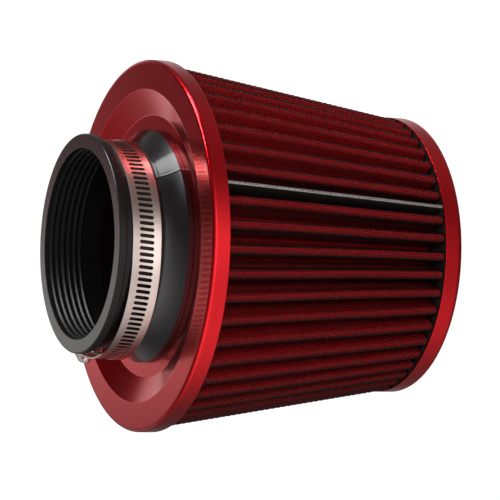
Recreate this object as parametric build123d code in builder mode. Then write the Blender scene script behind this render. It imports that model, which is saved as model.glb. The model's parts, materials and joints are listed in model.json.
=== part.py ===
"""Cone air filter for a car engine: a pleated cone between a pressed front plate and a closed cap,
with a moulded rubber neck and a worm-drive clamp. Millimetres, +Z along the axis to the mouth."""

import os
from math import acos, atan2, cos, degrees, hypot, radians, sin, tan

from build123d import *

os.makedirs("parts", exist_ok=True)

# Driving dimensions of the whole filter
pipe_radius = 38.0
plate_radius = 75.75
cap_radius = 58.3
plate_height = 119.0
neck_reach = 25.6
fit_gap = 0.05

# Closed end: pressed aluminium cap
cap_sheet = 1.0
cap_rim = 7.8
cap_corner = 1.8
cap_dish_depth = 2.2
cap_ring = 17.0
cap_slope = 5.7
cap_dish_outer = cap_radius - cap_ring
cap_dish_inner = cap_dish_outer - cap_slope

# Front plate: pressed aluminium dish with a turned-back rim
plate_sheet = 1.2
plate_rim = 7.3
plate_corner = 1.5
dish_depth = 4.3
rim_back = plate_height - plate_rim
floor_top = plate_height - dish_depth
floor_back = floor_top - plate_sheet

# Rubber neck
mouth = plate_height + neck_reach
lip_wall = 6.4
lip_radius = pipe_radius + lip_wall
lip_width = 3.3
lip_round = 0.6
groove_wall = 3.8
groove_radius = pipe_radius + groove_wall
groove_rise = 6.4
groove_base = plate_height + groove_rise
shoulder = 0.8
skirt_wall = 9.5
skirt_radius = pipe_radius + skirt_wall
skirt_edge = 2.2
skirt_hollow = 0.7
foot_wall = 11.6
foot_radius = pipe_radius + foot_wall
foot_depth = 1.8
plate_grip = 5.1
plate_hole = foot_radius - plate_grip
dish_floor = 3.8
dish_inner = foot_radius + dish_floor
dish_slope = 10.4
dish_outer = dish_inner + dish_slope
rib_height = 0.6
bore_radius = pipe_radius + rib_height
rib_count = 6
rib_first = 3.1
rib_spacing = 2.55
rib_land = 0.5
rib_slope = 0.6
stop_depth = 25.0
tail_relief = 2.0
tail_bore = pipe_radius + tail_relief

# Pleated pack
pleat_count = 47
pleat_depth = 13.6
pack_sheet = 1.4
crest_round = 2.0
valley_round = 0.7
wide_fold_count = 4
tight_fold_count = 2
front_inset = 1.4
crest_front = plate_radius - front_inset
rear_inset = 0.25
crest_rear = cap_radius - rear_inset
seam_gap = 10.7
seam_angle = -69.5

# Seam clip
clip_sheet = 0.35
clip_depth = 6.5
clip_setback = 0.4
blade_round = 0.4

# Worm-drive clamp
clamp_angle = 147.0
hang_angle = 180.0
band_drop = 3.8
band_width = 12.2
band_sheet = 0.6
band_rise = 13.4
band_middle = plate_height + band_rise
slot_spacing = 2.43
slot_width = 1.45
slot_length = 6.1
slot_tilt = 5.0
band_bend = 3.0
lap_angle = 12.0
tail_angle = 18.0
bridge_lead = 0.5
bridge_trail = 2.0
saddle_sheet = 0.6
saddle_rise = 0.75
saddle_margin = 2.0
housing_sheet = 0.6
housing_length = 14.0
shelf_gap = 0.15
end_gap = 0.12
screw_radius = 2.3
screw_play = 0.1
tunnel_gap = 0.3
pilot_radius = 1.3
tip_radius = 1.8
tip_length = 2.6
collar_radius = 2.9
collar_width = 0.8
head_flats = 5.5
head_height = 3.6
driver_slot_width = 0.9
driver_slot_depth = 1.3
running_gap = 0.08


def polar(radius, angle):
    """Point at a radius and an angle in degrees."""
    return (radius * cos(radians(angle)), radius * sin(radians(angle)))


def along(point, distance, angle):
    """Point at a distance and an angle in degrees from another point."""
    step = polar(distance, angle)
    return (point[0] + step[0], point[1] + step[1])


def cap_face(depth):
    """Face of the cap's sheet at a depth behind its outside, from the centre to the edge of the rim."""
    shift = depth * tan(atan2(cap_dish_depth, cap_slope) / 2)
    corners = [
        (0, cap_dish_depth + depth),
        (cap_dish_inner + shift, cap_dish_depth + depth),
        (cap_dish_outer + shift, depth),
        (cap_radius - depth, depth),
        (cap_radius - depth, cap_rim),
    ]
    return FilletPolyline(*corners, radius=(0, 0, cap_corner - depth))


def plate_face(start_radius, depth):
    """Face of the plate's sheet at a depth behind its front, from a radius to the edge of the rim."""
    shift = depth * tan(atan2(dish_depth, dish_slope) / 2)
    corners = [
        (start_radius, floor_top - depth),
        (dish_inner + shift, floor_top - depth),
        (dish_outer + shift, plate_height - depth),
        (plate_radius - depth, plate_height - depth),
        (plate_radius - depth, rim_back),
    ]
    return FilletPolyline(*corners, radius=(0, 0, plate_corner - depth))


# end_cap: one pressed disc, its middle dished in so that it stands on a flat ring
with BuildPart() as end_cap:
    with BuildSketch(Plane.XZ):
        with BuildLine():
            cap_outside = cap_face(0)
            cap_inside = cap_face(cap_sheet)
            Line(cap_outside @ 0, cap_inside @ 0)
            Line(cap_outside @ 1, cap_inside @ 1)
        make_face()
    revolve(axis=Axis.Z)
end_cap.part.label = "end_cap"
export_step(end_cap.part, "parts/end_cap.step")


# rear_sealant: potting poured into the cap up to the edge of its rim
with BuildPart() as rear_sealant:
    with BuildSketch(Plane.XZ):
        with BuildLine():
            cap_inside = cap_face(cap_sheet)
            Polyline(cap_inside @ 1, (0, cap_rim), cap_inside @ 0)
        make_face()
    revolve(axis=Axis.Z)
rear_sealant.part.label = "rear_sealant"
export_step(rear_sealant.part, "parts/rear_sealant.step")


# base_flange: pressed front plate with a dish round the neck and a turned-back rim
with BuildPart() as base_flange:
    with BuildSketch(Plane.XZ):
        with BuildLine():
            plate_front = plate_face(plate_hole, 0)
            plate_back = plate_face(plate_hole, plate_sheet)
            Line(plate_front @ 0, plate_back @ 0)
            Line(plate_front @ 1, plate_back @ 1)
        make_face()
    revolve(axis=Axis.Z)
base_flange.part.label = "base_flange"
export_step(base_flange.part, "parts/base_flange.step")


# front_sealant: potting that fills the plate behind the dish, level with the edge of the rim
with BuildPart() as front_sealant:
    sealant_inner = foot_radius + fit_gap
    with BuildSketch(Plane.XZ):
        with BuildLine():
            plate_back = plate_face(sealant_inner, plate_sheet)
            Polyline(plate_back @ 1, (sealant_inner, rim_back), plate_back @ 0)
        make_face()
    revolve(axis=Axis.Z)
front_sealant.part.label = "front_sealant"
export_step(front_sealant.part, "parts/front_sealant.step")


# rubber_neck: one moulding that grips the edge of the plate's hole, with sealing ribs in its bore
with BuildPart() as rubber_neck:
    foot_back = floor_back - foot_depth
    skirt_top = floor_top + skirt_edge
    shoulder_radius = groove_radius + shoulder
    shoulder_base = groove_base - shoulder
    bore_points = [(bore_radius, mouth - stop_depth)]
    for rib in reversed(range(rib_count)):
        rib_middle = mouth - rib_first - rib * rib_spacing
        bore_points += [
            (bore_radius, rib_middle - rib_land / 2 - rib_slope),
            (pipe_radius, rib_middle - rib_land / 2),
            (pipe_radius, rib_middle + rib_land / 2),
            (bore_radius, rib_middle + rib_land / 2 + rib_slope),
        ]
    with BuildSketch(Plane.XZ) as neck_profile:
        with BuildLine():
            Polyline(
                *bore_points,
                (bore_radius, mouth),
                (lip_radius, mouth),
                (lip_radius, mouth - lip_width),
                (groove_radius, mouth - lip_width),
                (groove_radius, groove_base),
                (shoulder_radius, shoulder_base),
            )
            ThreePointArc(
                (shoulder_radius, shoulder_base),
                ((shoulder_radius + skirt_radius) / 2 - skirt_hollow, (shoulder_base + skirt_top) / 2),
                (skirt_radius, skirt_top),
            )
            Polyline(
                (skirt_radius, skirt_top),
                (skirt_radius, floor_top),
                (plate_hole - fit_gap, floor_top),
                (plate_hole - fit_gap, floor_back),
                (foot_radius, floor_back),
                (foot_radius, foot_back),
                (tail_bore, foot_back),
                (tail_bore, mouth - stop_depth),
                bore_points[0],
            )
        make_face()
        outer_corners = neck_profile.vertices().filter_by_position(Axis.X, lip_radius, skirt_radius)
        fillet(outer_corners.filter_by_position(Axis.Y, groove_base, mouth), radius=lip_round)
    revolve(axis=Axis.Z)
rubber_neck.part.label = "rubber_neck"
export_step(rubber_neck.part, "parts/rubber_neck.step")


# pleated_media: gauze and wire mesh folded as one pack, its two ends meeting in a blade at the seam
pleat_pitch = (360.0 - seam_gap) / (pleat_count - 1)
crest_angles = [seam_angle + seam_gap / 2 + pleat_pitch * i for i in range(pleat_count)]
blade_setback = clip_sheet + fit_gap


def crest_line(height):
    """Radius of the pleats' crests at one height of the cone."""
    share = (height - cap_rim) / (rim_back - cap_rim)
    return crest_rear + (crest_front - crest_rear) * share


def rounds(crest_radius, valley_radius, inside):
    """Centres and signed radii of the folds, in order round the cone: crests plus, valleys minus."""
    crest = crest_round - (pack_sheet if inside else 0)
    valley = valley_round + (pack_sheet if inside else 0)
    crest_centre = crest_radius - crest_round
    valley_centre = valley_radius + valley_round
    folds = []
    for i, angle in enumerate(crest_angles):
        folds.append((polar(crest_centre, angle), crest))
        if i < pleat_count - 1:
            folds.append((polar(valley_centre, angle + pleat_pitch / 2), -valley))
    folds.append((polar(valley_centre, seam_angle - seam_gap / 4), -valley))
    if not inside:
        folds.append((polar(crest_radius - blade_setback - blade_round, seam_angle), blade_round))
    folds.append((polar(valley_centre, seam_angle + seam_gap / 4), -valley))
    return folds


def wall_normal(first, second):
    """Angle of the outward normal of the straight wall that touches two neighbouring rounds."""
    (x1, y1), r1 = first
    (x2, y2), r2 = second
    run = degrees(atan2(y2 - y1, x2 - x1))
    return run - degrees(acos((r1 - r2) / hypot(x2 - x1, y2 - y1)))


def fold_points(folds):
    """Corners of a closed pleated outline: each round fold is a run of short flats."""
    points = []
    for i, (centre, radius) in enumerate(folds):
        angle_in = wall_normal(folds[i - 1], folds[i])
        angle_out = wall_normal(folds[i], folds[(i + 1) % len(folds)])
        turn = (angle_out - angle_in) % 360 if radius > 0 else -((angle_in - angle_out) % 360)
        flats = wide_fold_count if abs(radius) > pack_sheet else tight_fold_count
        points += [along(centre, radius, angle_in + turn * step / flats) for step in range(flats + 1)]
    return points


with BuildPart() as pleated_media:
    for inside, mode in ((False, Mode.ADD), (True, Mode.SUBTRACT)):
        for height in (cap_rim, rim_back):
            with BuildSketch(Plane.XY.offset(height)):
                folds = rounds(crest_line(height), crest_line(height) - pleat_depth, inside)
                with BuildLine():
                    Polyline(*fold_points(folds), close=True)
                make_face()
        loft(ruled=True, mode=mode)
pleated_media.part.label = "pleated_media"
export_step(pleated_media.part, "parts/pleated_media.step")


# seam_clip: bent strip pinched over the blade where the ends of the pack meet
def clip_face(height):
    """Cross-section of the clip at one height, open towards the axis."""
    folds = rounds(crest_line(height), crest_line(height) - pleat_depth, False)
    before, blade, after = folds[-3:]
    angle_in = wall_normal(before, blade)
    angle_out = wall_normal(blade, after)
    sides = []
    for radius in (blade_round + fit_gap, blade_round + fit_gap + clip_sheet):
        foot_in = along(along(blade[0], radius, angle_in), clip_depth, angle_in - 90)
        top_in = along(blade[0], radius, angle_in)
        top = along(blade[0], radius, seam_angle)
        top_out = along(blade[0], radius, angle_out)
        foot_out = along(along(blade[0], radius, angle_out), clip_depth, angle_out + 90)
        sides.append((foot_in, top_in, top, top_out, foot_out))
    edges = [Line(sides[0][0], sides[1][0]), Line(sides[0][4], sides[1][4])]
    for foot_in, top_in, top, top_out, foot_out in sides:
        edges += [Line(foot_in, top_in), ThreePointArc(top_in, top, top_out), Line(top_out, foot_out)]
    return edges


with BuildPart() as seam_clip:
    for height in (cap_rim + clip_setback, rim_back - clip_setback):
        with BuildSketch(Plane.XY.offset(height)):
            make_face(clip_face(height))
    loft(ruled=True)
seam_clip.part.label = "seam_clip"
export_step(seam_clip.part, "parts/seam_clip.step")


# Clamp frame: local X along the screw towards its head, local Y outwards through the housing;
# its origin is off the filter's axis, because the loose band hangs to one side
clamp_origin = (*polar(band_drop, hang_angle), band_middle)
clamp_plane = Plane(clamp_origin, x_dir=polar(1, clamp_angle - 90), z_dir=(0, 0, 1))
hug_radius = groove_radius + fit_gap
lap_radius = hug_radius + band_sheet + 2 * fit_gap
tail_level = hug_radius + band_sheet + saddle_rise
screw_level = tail_level + band_sheet + screw_play + screw_radius
bridge_start = (-housing_length / 2 - bridge_lead, tail_level)
bridge_end = (housing_length / 2 - bridge_trail, tail_level)


def touch_angle(point, radius, side):
    """Angle at which a straight line from a point outside a circle about the origin touches it."""
    return degrees(atan2(point[1], point[0])) + side * degrees(acos(radius / hypot(*point)))


def band_inside():
    """Inner face of the strip, from its first end round the neck and over that end to its tail."""
    lift_angle = touch_angle(bridge_start, hug_radius, 1)
    land_angle = touch_angle(bridge_end, lap_radius, -1)
    lap_end = 90 + lap_angle
    hang = 90 + hang_angle - clamp_angle
    neck_centre = polar(-band_drop, hang)
    free_start = hang - 90
    free_end = hang + 90
    climb = (polar(hug_radius, lift_angle), bridge_start, bridge_end, polar(lap_radius, land_angle))
    return Wire(
        [
            CenterArc((0, 0), hug_radius, lap_end, free_start - lap_end),
            Line(polar(hug_radius, free_start), along(neck_centre, hug_radius, free_start)),
            CenterArc(neck_centre, hug_radius, free_start, -180),
            Line(along(neck_centre, hug_radius, free_end), polar(hug_radius, free_end)),
            CenterArc((0, 0), hug_radius, free_end, lift_angle - free_end),
            *FilletPolyline(*climb, radius=band_bend).edges(),
            CenterArc((0, 0), lap_radius, land_angle, -tail_angle),
        ]
    )


# clamp_band: slotted strip that hangs loose on the neck, climbs over its first end and runs under the screw;
# the strip bends at its slots, so it is a run of short flats with one slot in each
band_wire = band_inside()
flat_count = round(band_wire.length / slot_spacing)
flat_ends = [band_wire @ (flat / flat_count) for flat in range(flat_count + 1)]
outer_ends = [
    band_wire @ (flat / flat_count) + Vector(0, 0, band_sheet).cross(band_wire % (flat / flat_count))
    for flat in range(flat_count + 1)
]
slot_places = []
for flat_start, flat_end in zip(flat_ends[1:-2], flat_ends[2:-1]):
    run = flat_end - flat_start
    slot_plane = Plane((flat_start + flat_end) / 2, x_dir=run, z_dir=run.cross(Vector(0, 0, 1)))
    slot_places.append(clamp_plane.location * slot_plane.location)

with BuildPart() as clamp_band:
    with BuildSketch(clamp_plane.offset(-band_width / 2)):
        with BuildLine():
            Polyline(*flat_ends, *reversed(outer_ends), close=True)
        make_face()
    extrude(amount=band_width)
    with Locations(*slot_places):
        Box(slot_width, slot_length, 4 * band_sheet, rotation=(0, 0, slot_tilt), mode=Mode.SUBTRACT)
clamp_band.part.label = "clamp_band"
export_step(clamp_band.part, "parts/clamp_band.step")


def across_plane(station):
    """Plane across the screw at a distance along it: sketch X outwards, sketch Y along the filter."""
    origin = clamp_plane.from_local_coords((station, 0, 0))
    return Plane(origin, x_dir=clamp_plane.y_dir, z_dir=clamp_plane.x_dir)


# clamp_saddle: small bridge that stands on the band's first end and carries the moving end
with BuildPart() as clamp_saddle:
    saddle_top = tail_level - fit_gap
    saddle_half = band_width / 2
    saddle_start = bridge_start[0] + saddle_margin
    saddle_end = bridge_end[0] - saddle_margin
    with BuildSketch(across_plane(saddle_start)):
        with BuildLine():
            saddle_outside = Polyline(
                (groove_radius, -saddle_half),
                (saddle_top, -saddle_half),
                (saddle_top, saddle_half),
                (groove_radius, saddle_half),
            )
            offset(saddle_outside, amount=saddle_sheet, side=Side.LEFT, kind=Kind.INTERSECTION)
        make_face()
    extrude(amount=saddle_end - saddle_start)
    with Locations(clamp_origin):
        Cylinder(hug_radius + band_sheet + fit_gap, 2 * band_width, mode=Mode.SUBTRACT)
clamp_saddle.part.label = "clamp_saddle"
export_step(clamp_saddle.part, "parts/clamp_saddle.step")


# clamp_housing: stamped tunnel over the screw, its skirts bent down past the edges of the band
with BuildPart() as clamp_housing:
    tunnel_radius = screw_radius + tunnel_gap
    shelf_level = tail_level + band_sheet + shelf_gap
    skirt_level = hug_radius + band_sheet + shelf_gap
    skirt_half = band_width / 2 + fit_gap
    with BuildSketch(across_plane(-housing_length / 2)):
        with BuildLine():
            Polyline(
                (skirt_level, -skirt_half),
                (shelf_level, -skirt_half),
                (shelf_level, -tunnel_radius),
                (screw_level, -tunnel_radius),
            )
            RadiusArc((screw_level, -tunnel_radius), (screw_level, tunnel_radius), -tunnel_radius)
            Polyline(
                (screw_level, tunnel_radius),
                (shelf_level, tunnel_radius),
                (shelf_level, skirt_half),
                (skirt_level, skirt_half),
            )
            offset(amount=housing_sheet, side=Side.RIGHT, kind=Kind.INTERSECTION)
        make_face()
    extrude(amount=housing_length)
    with BuildSketch(across_plane(-housing_length / 2)):
        with Locations((screw_level, 0)):
            Circle(tunnel_radius + housing_sheet / 2)
            Circle(pilot_radius + running_gap, mode=Mode.SUBTRACT)
        with Locations((shelf_level, 0)):
            Rectangle(band_width, band_width, align=(Align.MAX, Align.CENTER), mode=Mode.SUBTRACT)
    extrude(amount=housing_sheet)
clamp_housing.part.label = "clamp_housing"
export_step(clamp_housing.part, "parts/clamp_housing.step")


# clamp_screw: worm on a pilot that turns in the housing's end wall, with a slotted hexagon head
with BuildPart() as clamp_screw:
    wall_start = -housing_length / 2
    worm_start = wall_start + housing_sheet + end_gap
    worm_end = housing_length / 2 + end_gap
    head_start = worm_end + collar_width
    with BuildSketch(clamp_plane):
        with BuildLine():
            Polyline(
                (wall_start - end_gap - tip_length, screw_level),
                (wall_start - end_gap - tip_length, screw_level + tip_radius),
                (wall_start - end_gap, screw_level + tip_radius),
                (wall_start - end_gap, screw_level + pilot_radius),
                (worm_start, screw_level + pilot_radius),
                (worm_start, screw_level + screw_radius),
                (worm_end, screw_level + screw_radius),
                (worm_end, screw_level + collar_radius),
                (head_start, screw_level + collar_radius),
                (head_start, screw_level),
                close=True,
            )
        make_face()
    revolve(axis=Axis(clamp_plane.from_local_coords((0, screw_level, 0)), clamp_plane.x_dir))
    with BuildSketch(across_plane(head_start)):
        with Locations((screw_level, 0)):
            RegularPolygon(head_flats / 2, 6, major_radius=False)
    extrude(amount=head_height)
    with BuildSketch(across_plane(head_start + head_height)):
        with Locations((screw_level, 0)):
            Rectangle(2 * head_flats, driver_slot_width)
    extrude(amount=-driver_slot_depth, mode=Mode.SUBTRACT)
clamp_screw.part.label = "clamp_screw"
export_step(clamp_screw.part, "parts/clamp_screw.step")
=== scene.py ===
"""Looks of a cone air filter: meshes and finishes round the fixed frame of its CAD model, in metres."""

import json
from math import acos, atan2, ceil, cos, hypot, pi, radians, sin, tan

import bmesh
import bpy
from mathutils import Matrix, Vector


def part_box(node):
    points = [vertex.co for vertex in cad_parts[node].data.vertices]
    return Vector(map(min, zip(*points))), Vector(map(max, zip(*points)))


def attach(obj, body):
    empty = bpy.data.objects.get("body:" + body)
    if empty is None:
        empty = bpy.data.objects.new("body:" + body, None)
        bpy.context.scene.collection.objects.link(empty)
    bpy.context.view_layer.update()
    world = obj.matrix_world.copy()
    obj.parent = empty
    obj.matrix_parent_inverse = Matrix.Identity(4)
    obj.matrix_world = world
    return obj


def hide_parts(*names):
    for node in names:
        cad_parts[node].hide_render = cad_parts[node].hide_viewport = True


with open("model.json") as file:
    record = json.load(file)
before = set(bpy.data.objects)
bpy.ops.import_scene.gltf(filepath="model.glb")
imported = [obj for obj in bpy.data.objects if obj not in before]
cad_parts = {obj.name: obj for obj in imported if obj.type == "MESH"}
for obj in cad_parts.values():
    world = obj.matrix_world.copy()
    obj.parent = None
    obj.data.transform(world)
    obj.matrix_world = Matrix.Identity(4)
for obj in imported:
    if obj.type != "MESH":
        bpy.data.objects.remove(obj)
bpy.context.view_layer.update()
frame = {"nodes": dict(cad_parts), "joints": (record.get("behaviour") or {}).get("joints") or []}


# Front plate: a disc of aluminium sheet, pressed with a dish round the neck and a turned-back rim,
# then polished and anodised red. The rubber of the neck grips the edge of its hole.
mm = 0.001
plate_low, plate_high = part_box("base_flange")
plate_radius = min(plate_high.x, -plate_low.x)
plate_top = plate_high.z
rim_back = plate_low.z
plate_sheet = 1.2 * mm
dish_depth = 4.3 * mm
dish_inner = 53.4 * mm
dish_outer = dish_inner + 10.4 * mm
dish_floor = plate_top - dish_depth
plate_hole = 44.5 * mm
anodised_red = (0.90, 0.003, 0.012)


class Socket:
    """A shader socket that takes part in sums: each operation adds its Math node."""

    def __init__(self, finish, socket):
        self.finish = finish
        self.socket = socket

    def __add__(self, other):
        return self.finish.math("ADD", self, other)

    def __sub__(self, other):
        return self.finish.math("SUBTRACT", self, other)

    def __rsub__(self, other):
        return self.finish.math("SUBTRACT", other, self)

    def __mul__(self, other):
        return self.finish.math("MULTIPLY", self, other)

    def __truediv__(self, other):
        return self.finish.math("DIVIDE", self, other)

    def __rtruediv__(self, other):
        return self.finish.math("DIVIDE", other, self)

    def __pow__(self, other):
        return self.finish.math("POWER", self, other)

    __radd__ = __add__
    __rmul__ = __mul__


class Finish:
    """A surface finish: one material, and the record's slot that it belongs to."""

    def __init__(self, name, slot, constants):
        self.slot = slot
        self.material = bpy.data.materials.new(name)
        self.material.use_nodes = True
        self.tree = self.material.node_tree
        self.shader = self.tree.nodes["Principled BSDF"]
        for socket, value in constants.items():
            self.shader.inputs[socket].default_value = value

    def node(self, kind, settings, inputs, output=0):
        """Any node: its settings are set first, then the values or links of its sockets."""
        made = self.tree.nodes.new("ShaderNode" + kind)
        for name, value in settings.items():
            setattr(made, name, value)
        for name, value in inputs.items():
            self.feed(made.inputs[name], value)
        return Socket(self, made.outputs[output])

    def feed(self, socket, value):
        if isinstance(value, Socket):
            self.tree.links.new(value.socket, socket)
        else:
            socket.default_value = value

    def math(self, operation, *values):
        return self.node("Math", {"operation": operation}, dict(enumerate(values)))

    def step(self, value, start, end):
        """A soft step: 0 before start, 1 past end."""
        limits = {"From Min": start, "From Max": end}
        return self.node("MapRange", {"interpolation_type": "SMOOTHSTEP"}, {"Value": value, **limits})

    def mix(self, share, first, second):
        """A colour between two others."""
        colours = [c if isinstance(c, Socket) else (*c, 1) for c in (first, second)]
        inputs = {0: share, 6: colours[0], 7: colours[1]}
        return self.node("Mix", {"data_type": "RGBA", "clamp_factor": True}, inputs, 2)

    def place(self):
        """The point on the piece, in the row frame at rest."""
        return self.node("TexCoord", {}, {}, "Object")

    def split(self, vector):
        made = self.node("SeparateXYZ", {}, {0: vector})
        outputs = made.socket.node.outputs
        return [Socket(self, outputs[axis]) for axis in range(3)]

    def point(self, x, y, z):
        return self.node("CombineXYZ", {}, {0: x, 1: y, 2: z})

    def noise(self, vector, size, detail=2.0):
        """Cloudy value from 0 to 1, whose clouds are about one size across."""
        return self.node("TexNoise", {}, {"Vector": vector, "Scale": 1 / size, "Detail": detail})

    def surface(self, inputs):
        for name, value in inputs.items():
            self.feed(self.shader.inputs[name], value)

    def bump(self, height, depth):
        """Relief: a height from 0 to 1 stands for a depth in metres."""
        relief = {"Height": height, "Distance": depth, "Strength": 1.0}
        self.surface({"Normal": self.node("Bump", {}, relief)})


def rounded(corners, flats=6):
    """Closed outline from corners (x, y, radius): a round is a run of flats with a short lead-in."""
    points = []
    for i, (x, y, radius) in enumerate(corners):
        corner = Vector((x, y))
        if not radius:
            points.append(corner)
            continue
        back = (Vector(corners[i - 1][:2]) - corner).normalized()
        ahead = (Vector(corners[(i + 1) % len(corners)][:2]) - corner).normalized()
        half = back.angle(ahead) / 2
        reach = radius / tan(half)
        centre = corner + (back + ahead).normalized() * (radius / sin(half))
        first = corner + back * reach - centre
        turn = (pi - 2 * half) * (1 if back.cross(ahead) < 0 else -1)
        points.append(corner + back * (reach + radius / 4))
        points += [centre + Matrix.Rotation(turn * k / flats, 2) @ first for k in range(flats + 1)]
        points.append(corner + ahead * (reach + radius / 4))
    return points


def turned(outline, angles):
    """Points and faces of a ring turned about Z from a closed outline of (radius, height)."""
    points = [(r * cos(a), r * sin(a), z) for a in angles for r, z in outline]
    faces = ring_faces(len(angles), len(outline))
    return points, faces


def ring_faces(rows, columns):
    """Four-sided faces of a grid of points that closes on itself both ways."""
    faces = []
    for row in range(rows):
        here = row * columns
        there = (row + 1) % rows * columns
        for i in range(columns):
            k = (i + 1) % columns
            faces.append((here + i, there + i, there + k, here + k))
    return faces


def even_angles(count):
    return [2 * pi * step / count for step in range(count)]


def piece(name, points, faces, finish, body="filter", sharp=38, spread=None, weld=True):
    """A mesh object that rides on a body: smooth but for its sharp edges, with spread as its UVs."""
    mesh = bpy.data.meshes.new(name)
    mesh.from_pydata(points, [], faces)
    if spread:
        layer = mesh.uv_layers.new(name="spread")
        for loop in mesh.loops:
            layer.data[loop.index].uv = spread[loop.vertex_index]
    if weld:
        shape = bmesh.new()
        shape.from_mesh(mesh)
        bmesh.ops.remove_doubles(shape, verts=shape.verts, dist=0.001 * mm)
        bmesh.ops.recalc_face_normals(shape, faces=shape.faces)
        shape.to_mesh(mesh)
        shape.free()
    mesh.shade_smooth()
    mesh.set_sharp_from_angle(angle=radians(sharp))
    mesh.materials.append(finish.material)
    made = bpy.data.objects.new(name, mesh)
    bpy.context.scene.collection.objects.link(made)
    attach(made, body)
    return made


def polished_red(name):
    """Polished red anodising with the fine turned rings of the polishing lathe."""
    clear_layer = {"Coat Weight": 0.5, "Coat Roughness": 0.10}
    finish = Finish(name, "anodised_plate", {"Metallic": 1.0, **clear_layer})
    place = finish.place()
    x, y, z = finish.split(place)
    radius = (x * x + y * y) ** 0.5
    lines = finish.noise(finish.point(radius, z, 0), 0.5 * mm, 4)
    clouds = finish.noise(place, 14 * mm, 3)
    dull = [0.78 * c for c in anodised_red]
    finish.surface({
        "Base Color": finish.mix(lines * 0.5 + clouds * 0.35, anodised_red, dull),
        "Roughness": 0.17 + lines * 0.07 + clouds * 0.05,
    })
    finish.bump(lines * 0.6 + clouds * 0.4, 0.012 * mm)
    return finish


slope_angle = atan2(dish_depth, dish_outer - dish_inner)
slope_shift = plate_sheet * tan(slope_angle / 2)
plate_outline = rounded([
    (plate_hole, dish_floor, 0.25 * mm),
    (dish_inner, dish_floor, 1.6 * mm),
    (dish_outer, plate_top, 1.1 * mm),
    (plate_radius, plate_top, 1.5 * mm),
    (plate_radius, rim_back, 0.35 * mm),
    (plate_radius - plate_sheet, rim_back, 0.35 * mm),
    (plate_radius - plate_sheet, plate_top - plate_sheet, 0.3 * mm),
    (dish_outer + slope_shift, plate_top - plate_sheet, 0.5 * mm),
    (dish_inner + slope_shift, dish_floor - plate_sheet, 0.5 * mm),
    (plate_hole, dish_floor - plate_sheet, 0.25 * mm),
])
plate_finish = polished_red("red_plate")
plate = piece("front_plate", *turned(plate_outline, even_angles(256)), plate_finish)
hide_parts("base_flange")


# Neck: one moulding of black rubber with a lip at its mouth, a groove for the clamp, a skirt that flares
# onto the plate and six sealing ribs in its bore. The two halves of the mould leave a fine raised line.
neck_low, neck_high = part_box("rubber_neck")
mouth = neck_high.z
foot_back = neck_low.z
foot_radius = (neck_high.x - neck_low.x) / 2
pipe_radius = 38.0 * mm
bore_radius = pipe_radius + 0.6 * mm
lip_radius = pipe_radius + 6.4 * mm
lip_width = 3.3 * mm
groove_radius = pipe_radius + 3.8 * mm
groove_base = plate_top + 6.4 * mm
shoulder = 0.2 * mm
skirt_radius = pipe_radius + 9.5 * mm
skirt_top = dish_floor + 2.2 * mm
skirt_hollow = 0.7 * mm
tail_bore = pipe_radius + 2.0 * mm
stop_depth = 25.0 * mm
rib_count = 6
rib_first = 3.1 * mm
rib_pitch = 2.55 * mm
rib_land = 0.5 * mm
rib_slope = 0.6 * mm
skirt_flats = 8
grip_gap = 0.05 * mm
foot_gap = 0.1 * mm
parting_angle = radians(-50)
parting_half = 0.3 * mm
parting_rise = 0.16 * mm

neck_corners = [(bore_radius, mouth - stop_depth, 0)]
for rib in reversed(range(rib_count)):
    rib_middle = mouth - rib_first - rib * rib_pitch
    neck_corners += [
        (bore_radius, rib_middle - rib_land / 2 - rib_slope, 0.2 * mm),
        (pipe_radius, rib_middle - rib_land / 2, 0.2 * mm),
        (pipe_radius, rib_middle + rib_land / 2, 0.2 * mm),
        (bore_radius, rib_middle + rib_land / 2 + rib_slope, 0.2 * mm),
    ]
neck_corners += [
    (bore_radius, mouth, 0.15 * mm),
    (lip_radius, mouth, 0.6 * mm),
    (lip_radius, mouth - lip_width, 0.5 * mm),
    (groove_radius, mouth - lip_width, 0.5 * mm),
    (groove_radius, groove_base, 0.4 * mm),
]
skirt_start = Vector((groove_radius + shoulder, groove_base - shoulder))
skirt_end = Vector((skirt_radius, skirt_top))
skirt_pull = (skirt_start + skirt_end) / 2 - Vector((2 * skirt_hollow, 0))
for k in range(skirt_flats + 1):
    share = k / skirt_flats
    bent = skirt_start.lerp(skirt_pull, share).lerp(skirt_pull.lerp(skirt_end, share), share)
    neck_corners.append((*bent, 0))
neck_corners += [
    (skirt_radius, dish_floor + foot_gap, 0.05 * mm),
    (plate_hole - grip_gap, dish_floor + foot_gap, 0),
    (plate_hole - grip_gap, dish_floor - plate_sheet, 0),
    (foot_radius, dish_floor - plate_sheet, 0.3 * mm),
    (foot_radius, foot_back, 0.5 * mm),
    (tail_bore, foot_back, 0.5 * mm),
    (tail_bore, mouth - stop_depth, 0.5 * mm),
]
neck_outline = rounded(neck_corners, 4)
neck_angles = even_angles(200)
for line_angle in (parting_angle, parting_angle + pi):
    neck_angles += [line_angle + k * parting_half / groove_radius for k in (-1, -0.5, 0, 0.5, 1)]
neck_angles = sorted(a % (2 * pi) for a in neck_angles)
neck_points, neck_faces = turned(neck_outline, neck_angles)
for i, (x, y, z) in enumerate(neck_points):
    radius = hypot(x, y)
    off_line = abs(sin(atan2(y, x) - parting_angle)) * radius
    if radius > groove_radius - 0.1 * mm and z > skirt_top and off_line < parting_half:
        scale = 1 + parting_rise * (1 - off_line / parting_half) / radius
        neck_points[i] = (x * scale, y * scale, z)

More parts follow.
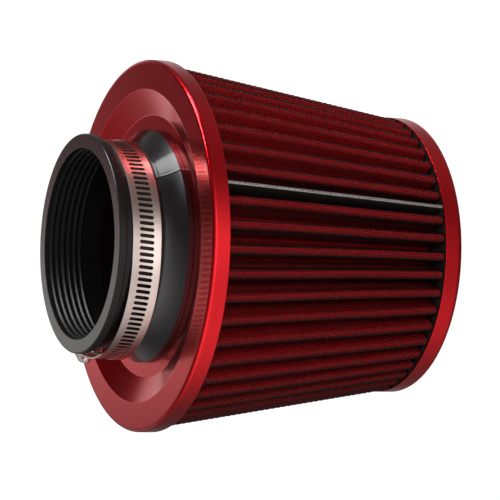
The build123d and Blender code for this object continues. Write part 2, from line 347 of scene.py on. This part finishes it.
rubber = Finish("black_rubber", "neck_rubber", {"Specular IOR Level": 0.35, "Coat Roughness": 0.10})
rubber_place = rubber.place()
x, y, z = rubber.split(rubber_place)
bloom = rubber.noise(rubber_place, 9 * mm, 4)
grain = rubber.noise(rubber_place, 0.35 * mm, 3)
specks = rubber.step(rubber.noise(rubber_place, 0.9 * mm, 1), 0.74, 0.8)
lip_face = rubber.step(z, mouth - 0.3 * mm, mouth - 0.1 * mm)
outside = rubber.step((x * x + y * y) ** 0.5, bore_radius, bore_radius + 0.4 * mm)
# Painted shade: the groove and lip side under the band lose their grey speckle and are painted black; the
# zone is also matt.
groove_matt_and_shade = (rubber.step(z, groove_base - mm, groove_base) - lip_face) * outside
rubber_black = (0.007, 0.007, 0.007)
rubber_grey = (0.028, 0.026, 0.028)
# Painted sheen: the lip face at the mouth is painted a lighter grey for the light it reflects.
lip_sheen_grey = (0.075, 0.07, 0.07)
rubber_tone_and_shade = rubber.mix(bloom * 0.6 + specks * 0.4 - groove_matt_and_shade * 0.5, rubber_black, rubber_grey)
rubber.surface({
    "Base Color": rubber.mix(lip_face * (0.6 + bloom * 0.4), rubber_tone_and_shade, lip_sheen_grey),
    "Roughness": 0.36 - outside * 0.2 + groove_matt_and_shade * 0.14 + bloom * 0.10 + grain * 0.06,
    "Coat Weight": (1 - groove_matt_and_shade) * outside,
})
rubber.bump(grain * 0.7 + bloom * 0.3, 0.008 * mm)
neck = piece("rubber_neck_moulding", neck_points, neck_faces, rubber)
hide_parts("rubber_neck")


# Potting: dark rubbery compound, poured into the plate and the cap to bond the ends of the pack.
# It sets level with the edges of their rims and shows only between the feet of the pleats.
potting_dark = (0.03, 0.024, 0.021)
potting_light = (0.08, 0.062, 0.055)
potting = Finish("potting", "sealant", {"Specular IOR Level": 0.4})
potting_place = potting.place()
ripple = potting.noise(potting_place, 5 * mm, 3)
potting.surface({
    "Base Color": potting.mix(ripple, potting_dark, potting_light),
    "Roughness": 0.45 + ripple * 0.2,
})
potting.bump(ripple, 0.15 * mm)


def dress(node, finish):
    """Puts a finish on a CAD node that is shown as it is."""
    frame["nodes"][node].data.materials.clear()
    frame["nodes"][node].data.materials.append(finish.material)


dress("front_sealant", potting)
dress("rear_sealant", potting)


# Pleated pack: layers of oiled red cotton gauze under a wire mesh, folded together into 47 pleats and bent
# round into a cone. Their ends stand in the potting, and the gauze is darker for a little way up from the
# cap.
cap_low, cap_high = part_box("end_cap")
cap_radius = (cap_high.x - cap_low.x) / 2
cap_rim = cap_high.z
pleat_count = 47
pleat_depth = 13.6 * mm
pack_sheet = 1.4 * mm
crest_round = 2.0 * mm
valley_round = 0.7 * mm
crest_front = plate_radius - 1.4 * mm
crest_rear = cap_radius - 0.25 * mm
seam_gap = radians(10.7)
seam_angle = radians(-69.5)
blade_round = 0.4 * mm
blade_setback = 0.4 * mm
pleat_pitch = (2 * pi - seam_gap) / (pleat_count - 1)
pleat_sway = 0.3 * mm
wire_radius = 0.165 * mm
hoop_inset = 1.9 * wire_radius
gauze_inset = 2.7 * wire_radius
gauze_red = (0.95, 0.012, 0.020)
gauze_dark = (0.45, 0.001, 0.003)
thread_pitch = 0.55 * mm
pack_rows = 10


def crest_line(height):
    """Radius of the crests on the straight side of the cone."""
    share = (height - cap_rim) / (rim_back - cap_rim)
    return crest_rear + (crest_front - crest_rear) * share


def sway(pleat, height):
    """Angle by which a pleat bows to one side half way up, as folded gauze does."""
    share = (height - cap_rim) / (rim_back - cap_rim)
    bow = 0.7 * sin(12.9 * pleat) * sin(pi * share) + 0.4 * sin(7.3 * pleat + 2) * sin(2 * pi * share)
    return bow * pleat_sway / crest_rear


def at(radius, angle):
    return Vector((radius * cos(angle), radius * sin(angle)))


def fold_line(height, inset, crest_flats, valley_flats, blade_flats=4):
    """Points of the folded outline, and their outward normals, set in from the pack's outer face."""
    crest_centre = crest_line(height) - crest_round
    valley_centre = crest_line(height) - pleat_depth + valley_round
    crest = (crest_round - inset, crest_flats)
    valley = (-valley_round - inset, valley_flats)
    folds = []
    for pleat in range(pleat_count):
        angle = seam_angle + seam_gap / 2 + pleat_pitch * pleat
        folds.append((at(crest_centre, angle + sway(pleat, height)), *crest))
        if pleat < pleat_count - 1:
            bow = (sway(pleat, height) + sway(pleat + 1, height)) / 2
            folds.append((at(valley_centre, angle + pleat_pitch / 2 + bow), *valley))
    folds.append((at(valley_centre, seam_angle - seam_gap / 4), *valley))
    if inset < blade_round:
        blade_radius = crest_line(height) - blade_setback - blade_round
        folds.append((at(blade_radius, seam_angle), blade_round - inset, blade_flats))
    folds.append((at(valley_centre, seam_angle + seam_gap / 4), *valley))

    def wall(first, second):
        (centre, radius, _), (next_centre, next_radius, _) = first, second
        run = next_centre - centre
        return atan2(run.y, run.x) - acos((radius - next_radius) / run.length)

    line = []
    for i, (centre, radius, flats) in enumerate(folds):
        start = wall(folds[i - 1], folds[i])
        turn = wall(folds[i], folds[(i + 1) % len(folds)]) - start
        turn = turn % (2 * pi) if radius > 0 else -(-turn % (2 * pi))
        for k in range(flats + 1):
            angle = start + turn * k / flats
            line.append((centre + at(radius, angle), at(1, angle)))
    if inset >= blade_round:
        before, after = line[-valley_flats - 2], line[-valley_flats - 1]
        shares = [(k + 1) / (blade_flats + 2) for k in range(blade_flats + 1)]
        filler = [(before[0].lerp(after[0], s), before[1].lerp(after[1], s)) for s in shares]
        line[-valley_flats - 1:-valley_flats - 1] = filler
    return line


pack_heights = [cap_rim + (rim_back - cap_rim) * k / pack_rows for k in range(pack_rows + 1)]
gauze_points = []
gauze_spread = []
for height in pack_heights:
    outer = [p for p, _ in fold_line(height, gauze_inset, 8, 4)]
    inner = [p for p, _ in fold_line(height, pack_sheet, 8, 4)]
    run = 0
    for i, p in enumerate(outer):
        run += (p - outer[i - 1]).length if i else 0
        gauze_spread.append((run, height))
    gauze_spread += gauze_spread[-len(outer):]
    gauze_points += [(*p, height) for p in outer + inner]
columns = len(outer)
gauze_faces = []
for level in range(len(pack_heights)):
    here = level * 2 * columns
    for i in range(columns):
        k = (i + 1) % columns
        if level < len(pack_heights) - 1:
            there = here + 2 * columns
            gauze_faces.append((here + i, here + k, there + k, there + i))
            inside = (here + columns + i, there + columns + i, there + columns + k, here + columns + k)
            gauze_faces.append(inside)
        if level == 0:
            gauze_faces.append((here + i, here + columns + i, here + columns + k, here + k))
        if level == len(pack_heights) - 1:
            gauze_faces.append((here + i, here + k, here + columns + k, here + columns + i))

gauze = Finish("oiled_gauze", "oiled_gauze", {"Roughness": 0.75, "Specular IOR Level": 0.1})
spread = gauze.node("UVMap", {"uv_map": "spread"}, {})
along_fold, up_fold, _ = gauze.split(spread)
warp = gauze.math("SINE", along_fold * (2 * pi / thread_pitch))
weft = gauze.math("SINE", up_fold * (2 * pi / thread_pitch))
weave = 0.5 + warp * 0.25 + weft * 0.25
gauze_place = gauze.place()
oil = gauze.noise(gauze_place, 7 * mm, 4)
fuzz = gauze.noise(gauze_place, 0.5 * mm, 2)
_, _, z = gauze.split(gauze_place)
# The gauze is darker for a little way above the cap, in the colour of the potting.
above_dark_band = gauze.step(z - oil * mm, cap_rim + 0.2 * mm, cap_rim + 0.9 * mm)
cotton = gauze.mix(weave * 0.55 + oil * 0.35 + fuzz * 0.35 + 0.1, gauze_dark, gauze_red)
gauze.surface({"Base Color": gauze.mix(above_dark_band, potting_dark, cotton)})
gauze.bump(weave * 0.6 + fuzz * 0.4, 0.12 * mm)
pack = piece("gauze_pack", gauze_points, gauze_faces, gauze, spread=gauze_spread, weld=False)
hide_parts("pleated_media")


# Wire mesh: black coated wire woven square, laid on the outside of the gauze before folding, so that its
# hoops bend round every pleat. The wires from the cap to the plate pass over and under them in turn. Deep
# in the folds the wires are painted red, partly for oil on them and partly as painted light in the
# valleys.
mesh_pitch = 1.262 * mm
weave_lift = 0.9 * wire_radius
woven_depth = 4.4 * mm
deep_stride = 9
hoop_count = int((rim_back - cap_rim) / mesh_pitch)
up = Vector((0, 0, 1))


def wire_run(path, closed):
    """Points and faces of a three-sided wire along a path of (point, outward, sideways) places."""
    points = []
    half_side = wire_radius * 0.87
    for place, outward, sideways in path:
        points.append(place + outward * wire_radius)
        points.append(place - outward * wire_radius / 2 + sideways * half_side)
        points.append(place - outward * wire_radius / 2 - sideways * half_side)
    faces = []
    for i in range(len(path) if closed else len(path) - 1):
        a, b, c = 3 * i, 3 * i + 1, 3 * i + 2
        d, e, f = [(n + 3) % len(points) for n in (a, b, c)]
        faces += [(a, d, e, b), (a, c, f, d), (b, e, f, c)]
    if not closed:
        faces += [(0, 1, 2), (len(points) - 1, len(points) - 2, len(points) - 3)]
    return points, faces


def add_run(wires, path, closed=False):
    points, faces = wire_run(path, closed)
    start = len(wires[0])
    wires[0].extend(points)
    wires[1].extend(tuple(start + n for n in face) for face in faces)


wire = Finish("black_wire", "oiled_gauze", {"Specular IOR Level": 0.5})
wire_place = wire.place()
x, y, z = wire.split(wire_place)
worn = wire.noise(wire_place, 1.5 * mm, 2)
# Painted light: deep in the folds the wires turn oily red, lifting the shade of the valleys.
fold_light_and_oil = wire.step(crest_line(z) - (x * x + y * y) ** 0.5, 4 * mm, 8 * mm)
wire_black = (0.004, 0.004, 0.004)
wire_grey = (0.03, 0.027, 0.027)
fold_light_red = (0.24, 0.026, 0.028)
coating = wire.mix(wire.step(worn, 0.5, 0.75), wire_black, wire_grey)
wire.surface({
    "Base Color": wire.mix(fold_light_and_oil, coating, fold_light_red),
    "Roughness": 0.26 + worn * 0.2,
})
mesh_heights = [cap_rim + (hoop + 0.6) * mesh_pitch for hoop in range(hoop_count)]
mesh_heights = [cap_rim] + mesh_heights + [rim_back]
mesh_lines = [fold_line(height, hoop_inset, 5, 3, 2) for height in mesh_heights]
middle = len(mesh_heights) // 2
middle_line = mesh_lines[middle]
length_places = []
for i in range(len(middle_line)):
    k = (i + 1) % len(middle_line)
    parts = max(1, round((middle_line[k][0] - middle_line[i][0]).length / mesh_pitch))
    length_places += [(i, k, part / parts) for part in range(parts)]


def length_path(levels, i, k, share, lift):
    """Path of a straight wire through some levels of the mesh, lifted over every second hoop."""
    path = []
    for level in levels:
        line = mesh_lines[level]
        outward = Vector((*line[i][1].lerp(line[k][1], share), 0)).normalized()
        place = Vector((*line[i][0].lerp(line[k][0], share), mesh_heights[level]))
        path.append((place + outward * lift * (1 if level % 2 else -1), outward, outward.cross(up)))
    return path


for name, levels in (("rear", range(1, middle)), ("front", range(middle, len(mesh_heights) - 1))):
    hoops = ([], [])
    for level in levels:
        height = mesh_heights[level]
        add_run(hoops, [(Vector((*p, height)), Vector((*n, 0)), up) for p, n in mesh_lines[level]], True)
    piece("wire_hoops_" + name, *hoops, wire, sharp=180, weld=False)

rear_lengths, front_lengths, deep_lengths = ([], []), ([], []), ([], [])
for number, place in enumerate(length_places):
    i, k, share = place
    depth = crest_line(mesh_heights[middle]) - middle_line[i][0].lerp(middle_line[k][0], share).length
    if depth < woven_depth:
        lift = weave_lift if number % 2 else -weave_lift
        add_run(rear_lengths, length_path(range(middle + 1), *place, lift))
        add_run(front_lengths, length_path(range(middle, len(mesh_heights)), *place, lift))
    else:
        add_run(deep_lengths, length_path([*range(0, len(mesh_heights), deep_stride), -1], *place, 0))
piece("wire_lengths_rear", *rear_lengths, wire, sharp=180, weld=False)
piece("wire_lengths_front", *front_lengths, wire, sharp=180, weld=False)
piece("wire_lengths_deep", *deep_lengths, wire, sharp=180, weld=False)


# Seam clip: a strip of thin steel, folded over the blade where the two ends of the pack meet and pinched
# flat. Its flanks are painted black as painted shade, and only its folded edge shows bright steel, with
# slanted marks of the crimping rollers.
clip_steel = Finish("clip_steel", "clip_steel", {})
clip_place = clip_steel.place()
x, y, z = clip_steel.split(clip_place)
slant = clip_steel.point(z * 0.5, x, y)
marks = clip_steel.step(clip_steel.noise(slant, 0.3 * mm, 2), 0.3, 0.7)
smudge = clip_steel.noise(clip_place, 6 * mm, 3)
below_crest = crest_line(z) - (x * x + y * y) ** 0.5
# Painted shade: below its folded edge the clip is painted black.
unshaded_edge = clip_steel.step(below_crest, 0.4 * mm, 0.15 * mm)
clip_shade_black = (0.012, 0.011, 0.011)
clip_grey = (0.25, 0.24, 0.23)
clip_bright = (1.0, 0.97, 0.95)
rolled = clip_steel.mix(marks * 0.8 + smudge * 0.3, clip_grey, clip_bright)
clip_steel.surface({
    "Base Color": clip_steel.mix(unshaded_edge, clip_shade_black, rolled),
    "Metallic": unshaded_edge * 0.9,
    "Roughness": 0.5 - unshaded_edge * 0.25 + marks * 0.25,
})
clip_steel.bump(marks, 0.03 * mm)
dress("seam_clip", clip_steel)


# End cap: a disc of aluminium sheet with a turned-up rim, polished and anodised like the plate. Its middle
# is dished in, so that the filter stands on a flat ring.
cap_sheet = 1.0 * mm
cap_dish_depth = 2.2 * mm
cap_dish_outer = cap_radius - 17.0 * mm
cap_dish_inner = cap_dish_outer - 5.7 * mm
cap_outline = rounded([
    (0, cap_dish_depth, 0),
    (cap_dish_inner, cap_dish_depth, 1.0 * mm),
    (cap_dish_outer, 0, 1.0 * mm),
    (cap_radius, 0, 1.8 * mm),
    (cap_radius, cap_rim, 0.15 * mm),
    (cap_radius - cap_sheet, cap_rim, 0.3 * mm),
    (cap_radius - cap_sheet, cap_sheet, 0.8 * mm),
    (cap_dish_outer, cap_sheet, 0.5 * mm),
    (cap_dish_inner, cap_dish_depth + cap_sheet, 0.5 * mm),
    (0, cap_dish_depth + cap_sheet, 0),
])
cap = piece("closed_cap", *turned(cap_outline, even_angles(224)), polished_red("red_cap"))
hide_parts("end_cap")


# Clamp band: a strip of bright stainless steel with a row of slanted slots, rolled into a ring. It hangs
# loose on the neck, climbs over its own first end and runs on under the screw.
screw_joint = frame["joints"][0]
screw_axis = Vector(screw_joint["axis"])
outward = up.cross(screw_axis)
hug_radius = groove_radius + 0.05 * mm
band_sheet = 0.6 * mm
band_width = 11.7 * mm
band_lean = radians(2.5)
band_curl = radians(4.5)
lap_radius = hug_radius + band_sheet + 0.1 * mm
tail_level = hug_radius + band_sheet + 0.75 * mm
screw_radius = 2.3 * mm
screw_level = tail_level + band_sheet + 0.1 * mm + screw_radius
housing_length = 14.0 * mm
clamp_centre = Vector(screw_joint["pos_m"]) - outward * screw_level
clamp_place = Matrix((screw_axis, outward, up)).transposed().to_4x4()
clamp_place.translation = clamp_centre
slot_pitch = 2.43 * mm
slot_width = 1.45 * mm
slot_length = 6.1 * mm
slot_tilt = radians(5)
band_bend = 3.0 * mm
lap_end = radians(90 + 12)
tail_angle = radians(18)
bridge_start = Vector((-housing_length / 2 - 0.5 * mm, tail_level))
bridge_end = Vector((housing_length / 2 - 2.0 * mm, tail_level))
neck_centre = (clamp_place.inverted() @ Vector((0, 0, clamp_centre.z))).to_2d()
free_start = atan2(-neck_centre.y, -neck_centre.x) - pi / 2


def arc(centre, radius, start, end):
    """Points on an arc, about a degree apart."""
    count = ceil(abs(end - start) / radians(1.0))
    return [centre + at(radius, start + (end - start) * k / count) for k in range(count + 1)]


def touch_angle(point, radius, side):
    """Angle at which a line from a point outside a circle about the origin touches it."""
    return atan2(point.y, point.x) + side * acos(radius / point.length)


lift_angle = touch_angle(bridge_start, hug_radius, 1)
land_angle = touch_angle(bridge_end, lap_radius, -1)
origin = Vector((0, 0))
climb = rounded([
    (*at(hug_radius, lift_angle), 0),
    (*bridge_start, band_bend),
    (*bridge_end, band_bend),
    (*at(lap_radius, land_angle), 0),
])
band_line = arc(origin, hug_radius, lap_end, free_start)
band_line += arc(neck_centre, hug_radius, free_start, free_start - pi)
band_line += arc(origin, hug_radius, free_start + pi, lift_angle)
band_line += climb[1:-1]
band_line += arc(origin, lap_radius, land_angle, land_angle - tail_angle)
band_runs = [0.0]
for p, q in zip(band_line, band_line[1:]):
    band_runs.append(band_runs[-1] + (q - p).length)


def lift_at(share, across):
    """Height of a strip that leans to the mouth and curls a little where it hangs loose of the housing."""
    rise = min(1, max(0, (share - 0.08) / 0.12))
    fall = min(1, max(0, (0.92 - share) / 0.12))
    loose = rise * rise * (3 - 2 * rise) * fall * fall * (3 - 2 * fall)
    half = band_width / 2
    return loose * (tan(band_lean) - tan(band_curl) * (half + across) / (2 * half)) * (half - across)


def on_band(run, across, level):
    """Point on the strip: run along it, across its width and level above its inner face."""
    k = 1
    while k < len(band_runs) - 1 and band_runs[k] < run:
        k += 1
    share = (run - band_runs[k - 1]) / (band_runs[k] - band_runs[k - 1])
    tangent = (band_line[min(k + 1, len(band_line) - 1)] - band_line[max(k - 2, 0)]).normalized()
    level += lift_at(run / band_runs[-1], across)
    place = band_line[k - 1].lerp(band_line[k], share) + Vector((-tangent.y, tangent.x)) * level
    return tuple(clamp_place @ Vector((place.x, place.y, across)))


cell_count = round(band_runs[-1] / slot_pitch)
cell = band_runs[-1] / cell_count
edge_ring = [(0.0, -0.5), (0.5, -0.5), (1.0, -0.5)]
edge_ring += [(1.0, k / 6 - 0.5) for k in range(1, 6)]
edge_ring += [(1.0, 0.5), (0.5, 0.5), (0.0, 0.5)]
edge_ring += [(0.0, 0.5 - k / 6) for k in range(1, 6)]
slot_half = (slot_length - slot_width) / 2
slot_ring = []
for side, start in ((-1, -3 * pi / 4), (1, pi / 4)):
    for k in range(3):
        p = at(slot_width / 2, start + k * pi / 4)
        slot_ring.append(Vector((p.x, p.y + side * slot_half)))
    for k in range(5):
        slot_ring.append(Vector((-side * slot_width / 2, side * slot_half * (1 - k / 2))))
slot_ring = [Matrix.Rotation(slot_tilt, 2) @ p for p in slot_ring]
band_points, band_faces, band_spread = [], [], []
ring = len(edge_ring)
for number in range(cell_count):
    start = len(band_points)
    run = number * cell
    for level in (0, band_sheet):
        for share, across in edge_ring:
            place = (run + share * cell, across * band_width)
            band_points.append(on_band(*place, level))
            band_spread.append(place)
        for p in slot_ring:
            place = (run + cell / 2 + p.x, p.y)
            band_points.append(on_band(*place, level))
            band_spread.append(place)
    whole = number in (0, cell_count - 1)
    for i in range(ring):
        k = (i + 1) % ring
        bottom, top = start, start + 2 * ring
        if not whole:
            band_faces.append((bottom + i, bottom + ring + i, bottom + ring + k, bottom + k))
            band_faces.append((top + i, top + k, top + ring + k, top + ring + i))
            band_faces.append((bottom + ring + i, top + ring + i, top + ring + k, bottom + ring + k))
        on_edge = edge_ring[i][1] == edge_ring[k][1]
        at_end = whole and edge_ring[i][0] == edge_ring[k][0] == (0 if number == 0 else 1)
        if on_edge or at_end:
            band_faces.append((bottom + i, bottom + k, top + k, top + i))
    if whole:
        band_faces.append(tuple(reversed(range(start, start + ring))))
        band_faces.append(tuple(range(start + 2 * ring, start + 3 * ring)))

bright_steel = (0.74, 0.68, 0.62)
streaked_steel = [0.82 * c for c in bright_steel]
scuffed_steel = [0.72 * c for c in bright_steel]
band_steel = Finish("bright_band", "clamp_steel", {"Metallic": 1.0})
along_band, across_band, _ = band_steel.split(band_steel.node("UVMap", {"uv_map": "spread"}, {}))
streaks = band_steel.noise(band_steel.point(along_band * 0.03, across_band, 0), 0.25 * mm, 3)
smudge = band_steel.noise(band_steel.place(), 8 * mm, 3)
band_steel.surface({
    "Base Color": band_steel.mix(streaks * 0.5 + smudge * 0.3, bright_steel, streaked_steel),
    "Roughness": 0.13 + streaks * 0.10 + smudge * 0.06,
})
band_steel.bump(streaks * 0.7 + smudge * 0.3, 0.006 * mm)
band = piece("slotted_band", band_points, band_faces, band_steel, spread=band_spread)
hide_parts("clamp_band")


# Clamp saddle and housing: stampings of the same steel. The saddle bridges the first end of the band, and
# the housing is a tunnel for the screw, with shelves and skirts that keep the moving end in line.
pressed_steel = Finish("pressed_steel", "clamp_steel", {"Metallic": 1.0})
pressed_place = pressed_steel.place()
scuffs = pressed_steel.noise(pressed_place, 0.8 * mm, 4)
pressed_steel.surface({
    "Base Color": pressed_steel.mix(scuffs, bright_steel, scuffed_steel),
    "Roughness": 0.16 + scuffs * 0.16,
})
pressed_steel.bump(scuffs, 0.01 * mm)


def ease_edges(made, width):
    """Small rounds on the sharp edges of a stamping."""
    bevel = made.modifiers.new("eased_edges", "BEVEL")
    bevel.width = width
    bevel.segments = 2
    bevel.limit_method = "ANGLE"
    bevel.angle_limit = radians(50)


dress("clamp_saddle", pressed_steel)
ease_edges(frame["nodes"]["clamp_saddle"], 0.1 * mm)

housing_sheet = 0.6 * mm
tunnel_radius = screw_radius + 0.3 * mm
shelf_level = tail_level + band_sheet + 0.15 * mm
skirt_level = hug_radius + band_sheet + 0.15 * mm
skirt_half = 6.15 * mm
housing_half = []
for sheet, bend in ((housing_sheet, 0.75 * mm), (0, 0.15 * mm)):
    wall = tunnel_radius + sheet
    side = [
        (skirt_level, skirt_half + sheet, 0.1 * mm),
        (shelf_level + sheet, skirt_half + sheet, bend),
        (shelf_level + sheet, wall, 0.9 * mm - bend),
        (screw_level, wall, 0),
    ]
    crown = [(screw_level + p.y, p.x, 0) for p in arc(origin, wall, radians(9), radians(171))[::9]]
    housing_half.append(side + crown + [(a, -b, bend) for a, b, bend in reversed(side)])
housing_outline = rounded(housing_half[0] + housing_half[1][::-1], 4)
housing_points, housing_faces = [], []
for station in (-housing_length / 2, housing_length / 2):
    housing_points += [tuple(clamp_place @ Vector((station, p.x, p.y))) for p in housing_outline]
count = len(housing_outline)
housing_faces += [(i, (i + 1) % count, count + (i + 1) % count, count + i) for i in range(count)]
housing_faces += [tuple(range(count)), tuple(range(count, 2 * count))]
housing = piece("screw_housing", housing_points, housing_faces, pressed_steel)
ease_edges(housing, 0.1 * mm)
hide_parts("clamp_housing")

pilot_radius = 1.3 * mm
running_gap = 0.08 * mm
wall_steps = 48
wall_radius = tunnel_radius + housing_sheet / 2
hole_radius = pilot_radius + running_gap
wall_points = []
for angle in even_angles(wall_steps):
    reach = wall_radius
    if cos(angle) < 0:
        reach = min(reach, (screw_level - shelf_level) / -cos(angle))
    for radius, station in ((hole_radius, 0), (reach, 0), (reach, 1), (hole_radius, 1)):
        p = at(radius, angle)
        place = Vector((-housing_length / 2 + station * housing_sheet, screw_level + p.x, p.y))
        wall_points.append(tuple(clamp_place @ place))
piece("housing_end_wall", wall_points, ring_faces(wall_steps, 4), pressed_steel)


# Clamp screw: a worm of plated steel turned with a collar and a slotted hexagon head. Its thinner end is
# riveted over outside the housing's end wall, so that it turns and can't come out.
tip_radius = 1.8 * mm
tip_length = 2.6 * mm
end_gap = 0.12 * mm
collar_radius = 2.9 * mm
collar_width = 0.8 * mm
head_flats = 5.5 * mm
head_height = 3.6 * mm
thread_depth = 0.55 * mm
wall_start = -housing_length / 2
tip_end = wall_start - end_gap
tip_start = tip_end - tip_length
worm_start = wall_start + housing_sheet + end_gap
worm_end = housing_length / 2 + end_gap
head_start = worm_end + collar_width
head_end = head_start + head_height
around = 48
screw_rings = [
    (tip_start, 0, 0),
    (tip_start, tip_radius - 0.5 * mm, 0),
    (tip_start + 0.15 * mm, tip_radius - 0.15 * mm, 0),
    (tip_start + 0.5 * mm, tip_radius, 0),
    (tip_end - 0.1 * mm, tip_radius, 0),
    (tip_end, tip_radius - 0.1 * mm, 0),
    (tip_end, pilot_radius, 0),
    (worm_start, pilot_radius, 0),
]
worm_steps = 72
for k in range(worm_steps + 1):
    station = worm_start + (worm_end - worm_start) * k / worm_steps
    screw_rings.append((station, screw_radius, thread_depth))
screw_rings += [
    (worm_end, collar_radius - 0.15 * mm, 0),
    (worm_end + 0.15 * mm, collar_radius, 0),
    (head_start - 0.15 * mm, collar_radius, 0),
    (head_start, collar_radius - 0.15 * mm, 0),
    (head_start, 0, 0),
]
screw_points = []
for station, radius, depth in screw_rings:
    for angle in even_angles(around):
        turn = (station / slot_pitch - angle / (2 * pi)) % 1
        flank = min(1, max(0, 3 * abs(2 * turn - 1) - 1))
        fade = min(1, (station - worm_start) / mm, (worm_end - station) / mm) if depth else 0
        screw_points.append(Vector((station, *(at(radius - depth * flank * fade, angle)))))
screw_faces = ring_faces(len(screw_rings), around)[:-around]
screw_points = [tuple(clamp_place @ (p + Vector((0, screw_level, 0)))) for p in screw_points]
screw = piece("worm_screw", screw_points, screw_faces, pressed_steel, "screw", 30)
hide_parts("clamp_screw")

driver_slot = 0.9 * mm
driver_depth = 1.3 * mm
head_base = head_start - 0.2 * mm
head_points = []
for level in (-head_flats / 2, 0, head_flats / 2):
    half = head_flats / 2 / cos(pi / 6) - abs(level) * tan(pi / 6)
    notch = [(head_end, driver_slot / 2), (head_end - driver_depth, driver_slot / 2)]
    side = [(head_base, half), (head_end, half), *notch]
    for station, across in side + [(s, -c) for s, c in reversed(side)]:
        head_points.append(tuple(clamp_place @ Vector((station, screw_level + level, across))))
head_faces = [(i, (i + 1) % 8, (i + 1) % 8 + 8, i + 8) for i in range(8)]
head_faces += [tuple(n + 8 for n in face) for face in head_faces]
for end in (0, 16):
    head_faces += [tuple(end + n for n in part) for part in ((0, 1, 2, 3), (0, 3, 4, 7), (7, 4, 5, 6))]
head = piece("screw_head", head_points, head_faces, pressed_steel, "screw", 30)
ease_edges(head, 0.12 * mm)


# Studio: a pale floor under the standing filter, and a light tent that shows only in bright surfaces. Two
# soft boxes make streaks on metal and rubber, and two more light the gauze. A long lens looks at the neck.
bpy.ops.mesh.primitive_plane_add(size=4.0, location=(0, 0, 0))
floor = bpy.context.object
floor.name = "studio_floor"
floor.visible_glossy = False
floor.visible_diffuse = False
floor_white = bpy.data.materials.new("pale_floor")
floor_white.use_nodes = True
floor_shader = floor_white.node_tree.nodes["Principled BSDF"]
floor_shader.inputs["Base Color"].default_value = (0.5, 0.5, 0.5, 1)
floor_shader.inputs["Roughness"].default_value = 0.9
floor_shader.inputs["Emission Color"].default_value = (1, 1, 1, 1)
floor_shader.inputs["Emission Strength"].default_value = 1.0
floor.data.materials.append(floor_white)

tent_centre = Vector((0, 0, 0.07))
tent_radius = 0.8
bpy.ops.mesh.primitive_uv_sphere_add(segments=48, ring_count=24, radius=tent_radius, location=tent_centre)
tent = bpy.context.object
tent.name = "light_tent"
tent.visible_camera = False
tent.visible_diffuse = False
tent.visible_shadow = False
tent_glow = {"Base Color": (0, 0, 0, 1), "Specular IOR Level": 0.0, "Emission Strength": 1.0}
fabric = Finish("tent_fabric", None, tent_glow)
tent_place = fabric.place()
x, y, z = fabric.split(tent_place)
x, y, z = x / tent_radius, y / tent_radius, z / tent_radius


def glow(direction, tightness):
    """A round patch of light on the fabric, 1 at its middle."""
    toward = Vector(direction).normalized()
    facing = x * toward.x + y * toward.y + z * toward.z
    return fabric.math("EXPONENT", (facing - 1) * tightness)


behind = fabric.step(y, 0.3, 0.75) * fabric.step(z, -0.1, 0.1) * (1 - fabric.step(x, 0.35, 0.55))
flag = fabric.step(x, -0.04, 0.1) * fabric.step(z, 0.28, 0.4)
low_end = 1 - fabric.step(x, -0.18, -0.08)
below = 1 - fabric.step(z, -0.6, -0.2)
light = 0.05 + behind * (0.02 + (1 - flag) * (0.48 - low_end * 0.32)) + below * 0.05
light = light + glow((0.07, -0.998, 0), 12.3) * 1.75 + glow((-0.72, -0.66, 0.15), 4.3) * 1.2
light = light + glow((0.92, -0.17, -0.37), 4) * 0.18 + glow((0.3, 0.85, -0.42), 8) * 0.4
light = light - glow((0, -0.85, -0.53), 12) * 0.2
warmth = fabric.mix(behind * flag, (2.0, 1.9, 1.9), (2.0, 0.8, 0.9))
fabric.surface({"Emission Color": fabric.mix(light / 2, (0, 0, 0), warmth)})
tent.data.materials.append(fabric.material)

world = bpy.data.worlds.new("studio")
world.use_nodes = True
world.node_tree.nodes["Background"].inputs["Color"].default_value = (0.12, 0.12, 0.12, 1)
bpy.context.scene.world = world


def facing_frame(place, across, upward, away):
    """Place and turn of a lamp or camera from its own three directions."""
    return Matrix.Translation(place) @ Matrix((across, upward, away)).transposed().to_4x4()


def soft_light(name, place, aim, size, power, mirrored=False, along=up):
    """A soft box that faces a point. It shows only in bright surfaces, or else lights only dull ones."""
    lamp = bpy.data.lights.new(name, "AREA")
    lamp.shape = "RECTANGLE"
    lamp.size, lamp.size_y = size
    lamp.energy = power
    box = bpy.data.objects.new(name, lamp)
    box.visible_glossy = mirrored
    box.visible_diffuse = not mirrored
    away = (Vector(place) - Vector(aim)).normalized()
    across = Vector(along).cross(away).normalized()
    box.matrix_world = facing_frame(place, across, away.cross(across), away)
    bpy.context.scene.collection.objects.link(box)


soft_light("strip", (0.52, 0.11, 0.63), (0, 0, 0.1), (0.10, 0.5), 4.2, True, (0.25, 0.6, -0.3))
soft_light("key", (0.61, 0.041, 0.378), (0, 0, 0.1), (0.2, 0.34), 0.9, True, (-0.4, 0.4, 0.8))
soft_light("front", (0.3, -0.91, 0.42), (0, 0, 0.06), (0.4, 0.4), 1.7)
soft_light("above", (0.8, -0.3, 0.15), (0, 0, 0.06), (0.5, 0.5), 1.1)

lens = bpy.data.cameras.new("camera")
lens.lens = 184.97
lens.sensor_width = 36.0
lens.clip_end = 20
camera = bpy.data.objects.new("camera", lens)
camera_place = (-0.00009, -0.9662, 0.5199)
right = Vector((0.03595, -0.42319, -0.90533))
picture_up = Vector((0.99935, 0.01523, 0.03257))
back = Vector((0, -0.90591, 0.42346))
camera.matrix_world = facing_frame(camera_place, right, picture_up, back)
bpy.context.scene.collection.objects.link(camera)
bpy.context.scene.camera = camera
bpy.context.scene.view_settings.view_transform = "Standard"
